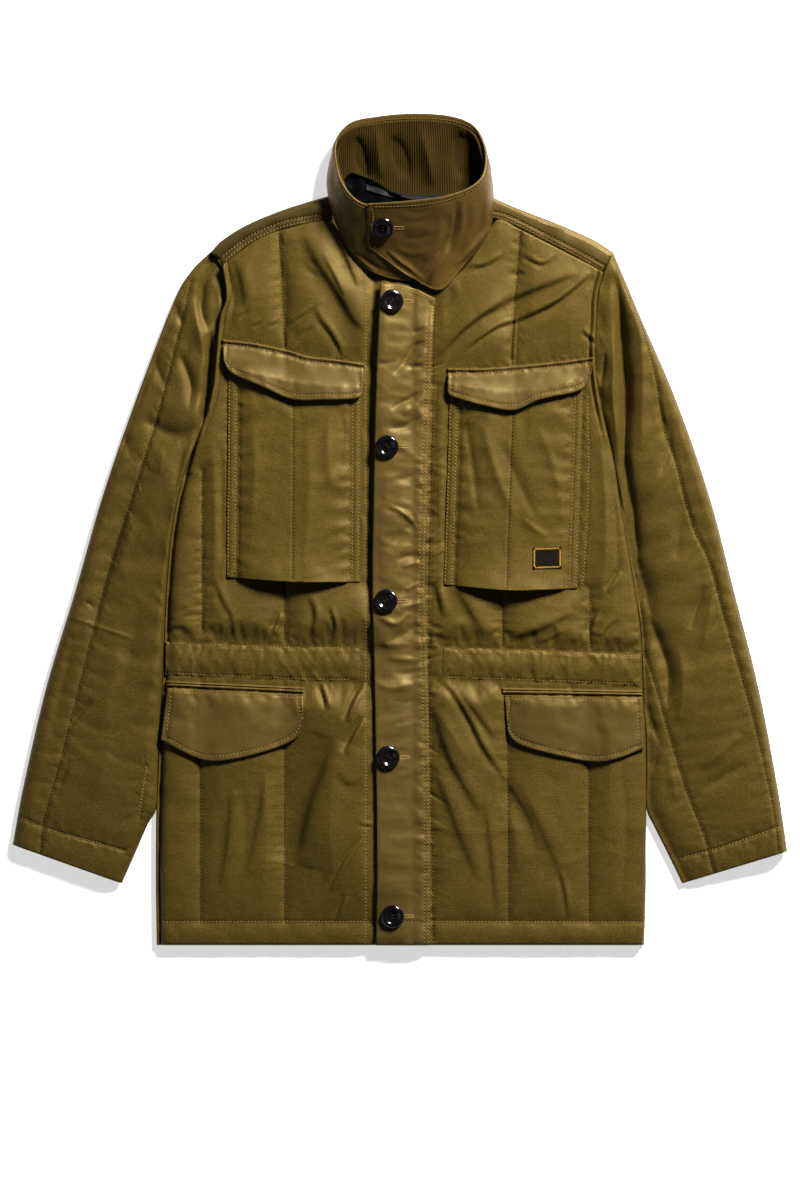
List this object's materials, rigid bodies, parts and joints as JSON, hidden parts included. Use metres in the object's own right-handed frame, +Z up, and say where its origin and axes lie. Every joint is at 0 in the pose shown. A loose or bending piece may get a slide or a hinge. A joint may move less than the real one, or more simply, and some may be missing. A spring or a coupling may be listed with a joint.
{
  "type": "field jacket",
  "caption": "Light padded field jacket laid flat on its back, with a buttoned stand collar, a storm fly, flap pockets on chest and hips and a gathered waist.",
  "frame": {"origin": "on the surface that the jacket lies on, under the centre of the box round it", "axes": "+X towards the wearer's left, +Y from the hem to the collar, +Z up from the surface, out of the jacket's front"},
  "size_m": [0.836, 0.897, 0.0525],
  "materials": {
    "nylon": "olive woven nylon, soft sheen",
    "twill": "olive fine twill, smooth, soft sheen",
    "rib": "dark olive rib knit, matte",
    "lining": "black lining, slightly shiny",
    "tape": "grey woven tape, matte",
    "label": "black woven label with a plain amber border",
    "button": "glossy black"
  },
  "bodies": {
    "root": {"back": "nylon", "yoke": "twill", "front_right": "nylon", "front_left": "nylon", "sleeve_right": "nylon", "sleeve_left": "nylon", "collar": "twill", "collar_rib": "rib", "neck_lining": "lining", "hanger_loop": "tape", "fly": "twill", "waist_channel_right": "nylon", "waist_channel_left": "nylon", "chest_pocket_right": "nylon", "chest_pocket_left": "nylon", "chest_flap_right": "twill", "chest_flap_left": "twill", "hip_welt_right": "twill", "hip_welt_left": "twill", "hip_flap_right": "twill", "hip_flap_left": "twill", "pocket_label": "label", "button_collar": "button", "button_1": "button", "button_2": "button", "button_3": "button", "button_4": "button", "button_5": "button"}
  },
  "joints": []
}
